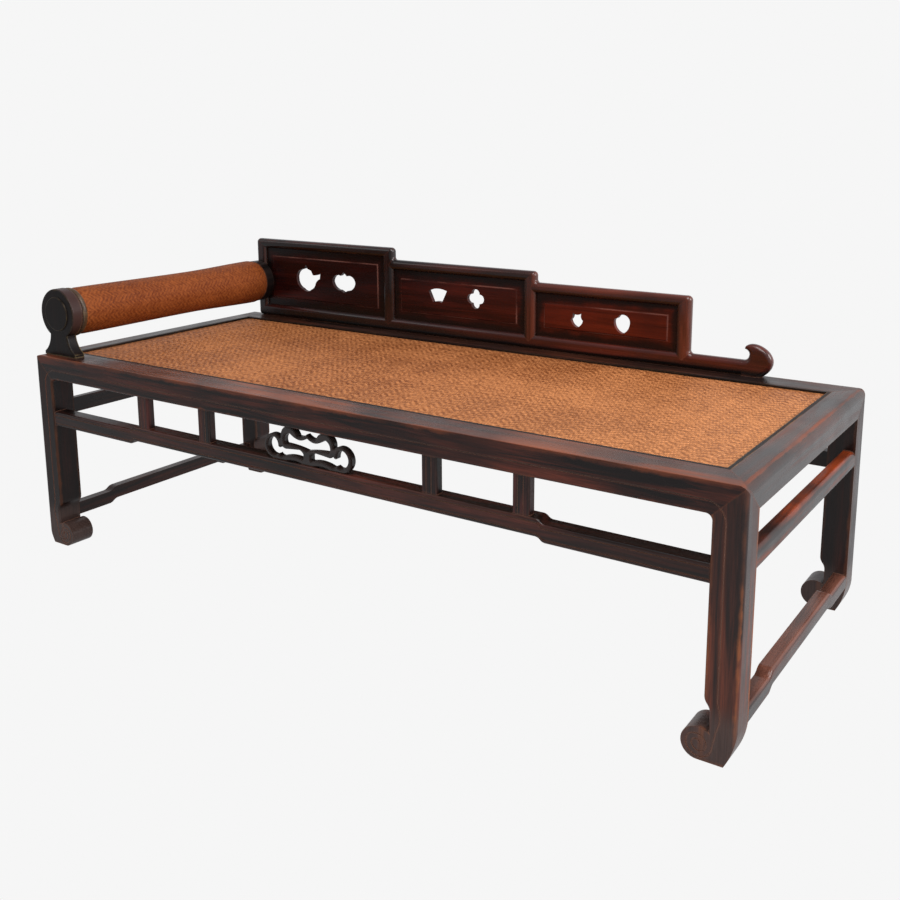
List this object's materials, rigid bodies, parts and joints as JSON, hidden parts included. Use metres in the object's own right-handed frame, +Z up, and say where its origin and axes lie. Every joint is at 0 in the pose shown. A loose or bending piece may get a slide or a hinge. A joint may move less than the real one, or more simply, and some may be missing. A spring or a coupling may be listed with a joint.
{
  "type": "luohan daybed",
  "caption": "Low wooden daybed with a woven rattan seat, stepped back railing with pierced panels, and a rattan bolster headrest at one end",
  "frame": {"origin": "on the floor, under the middle of the seat frame's footprint", "axes": "+X towards the foot end, -X towards the bolster end, +Y towards the railing at the back, +Z up"},
  "size_m": [1.886, 0.786, 0.749],
  "materials": {
    "frame_lacquer": "near-black brown lacquer, satin gloss, worn red and gold along the arrises",
    "railing_lacquer": "deep red-brown lacquer, glossy",
    "panel_lacquer": "dark red lacquer, satin gloss",
    "seat_rattan": "fine woven rattan, honey brown, matte with a slight sheen",
    "roll_rattan": "woven rattan, orange brown, satin",
    "collar_wood": "pale turned wood, satin",
    "lath_wood": "dark lacquered lath, satin",
    "bare_wood": "unfinished hardwood"
  },
  "bodies": {
    "root": {"back_rail": "frame_lacquer", "back_stretcher": "frame_lacquer", "back_strut_1": "frame_lacquer", "back_strut_2": "frame_lacquer", "back_strut_3": "frame_lacquer", "back_strut_4": "frame_lacquer", "bolster_collar": "collar_wood", "bolster_core": "bare_wood", "bolster_end_board": "frame_lacquer", "bolster_front_drum": "frame_lacquer", "bolster_rear_drum": "frame_lacquer", "bolster_roll": "roll_rattan", "cloud_carving": "frame_lacquer", "end_board_dowels": "bare_wood", "foot_floor_stretcher": "frame_lacquer", "foot_rail": "frame_lacquer", "foot_side_stretcher": "frame_lacquer", "front_rail": "frame_lacquer", "front_stretcher": "frame_lacquer", "front_strut_1": "frame_lacquer", "front_strut_2": "frame_lacquer", "front_strut_3": "frame_lacquer", "front_strut_4": "frame_lacquer", "head_floor_stretcher": "frame_lacquer", "head_rail": "frame_lacquer", "head_side_stretcher": "frame_lacquer", "leg_back_foot": "frame_lacquer", "leg_back_head": "frame_lacquer", "leg_front_foot": "frame_lacquer", "leg_front_head": "frame_lacquer", "mat_lath_back": "lath_wood", "mat_lath_foot": "lath_wood", "mat_lath_front": "lath_wood", "mat_lath_head": "lath_wood", "railing_base": "railing_lacquer", "railing_dowels": "bare_wood", "railing_panel_1": "panel_lacquer", "railing_panel_2": "panel_lacquer", "railing_panel_3": "panel_lacquer", "railing_stile_1": "railing_lacquer", "railing_stile_2": "railing_lacquer", "railing_stile_3": "railing_lacquer", "railing_stile_4": "railing_lacquer", "railing_top_1": "railing_lacquer", "railing_top_2": "railing_lacquer", "railing_top_3": "railing_lacquer", "rattan_mat": "seat_rattan", "seat_board": "bare_wood", "seat_brace_foot": "bare_wood", "seat_brace_head": "bare_wood", "seat_brace_middle": "bare_wood"}
  },
  "joints": []
}
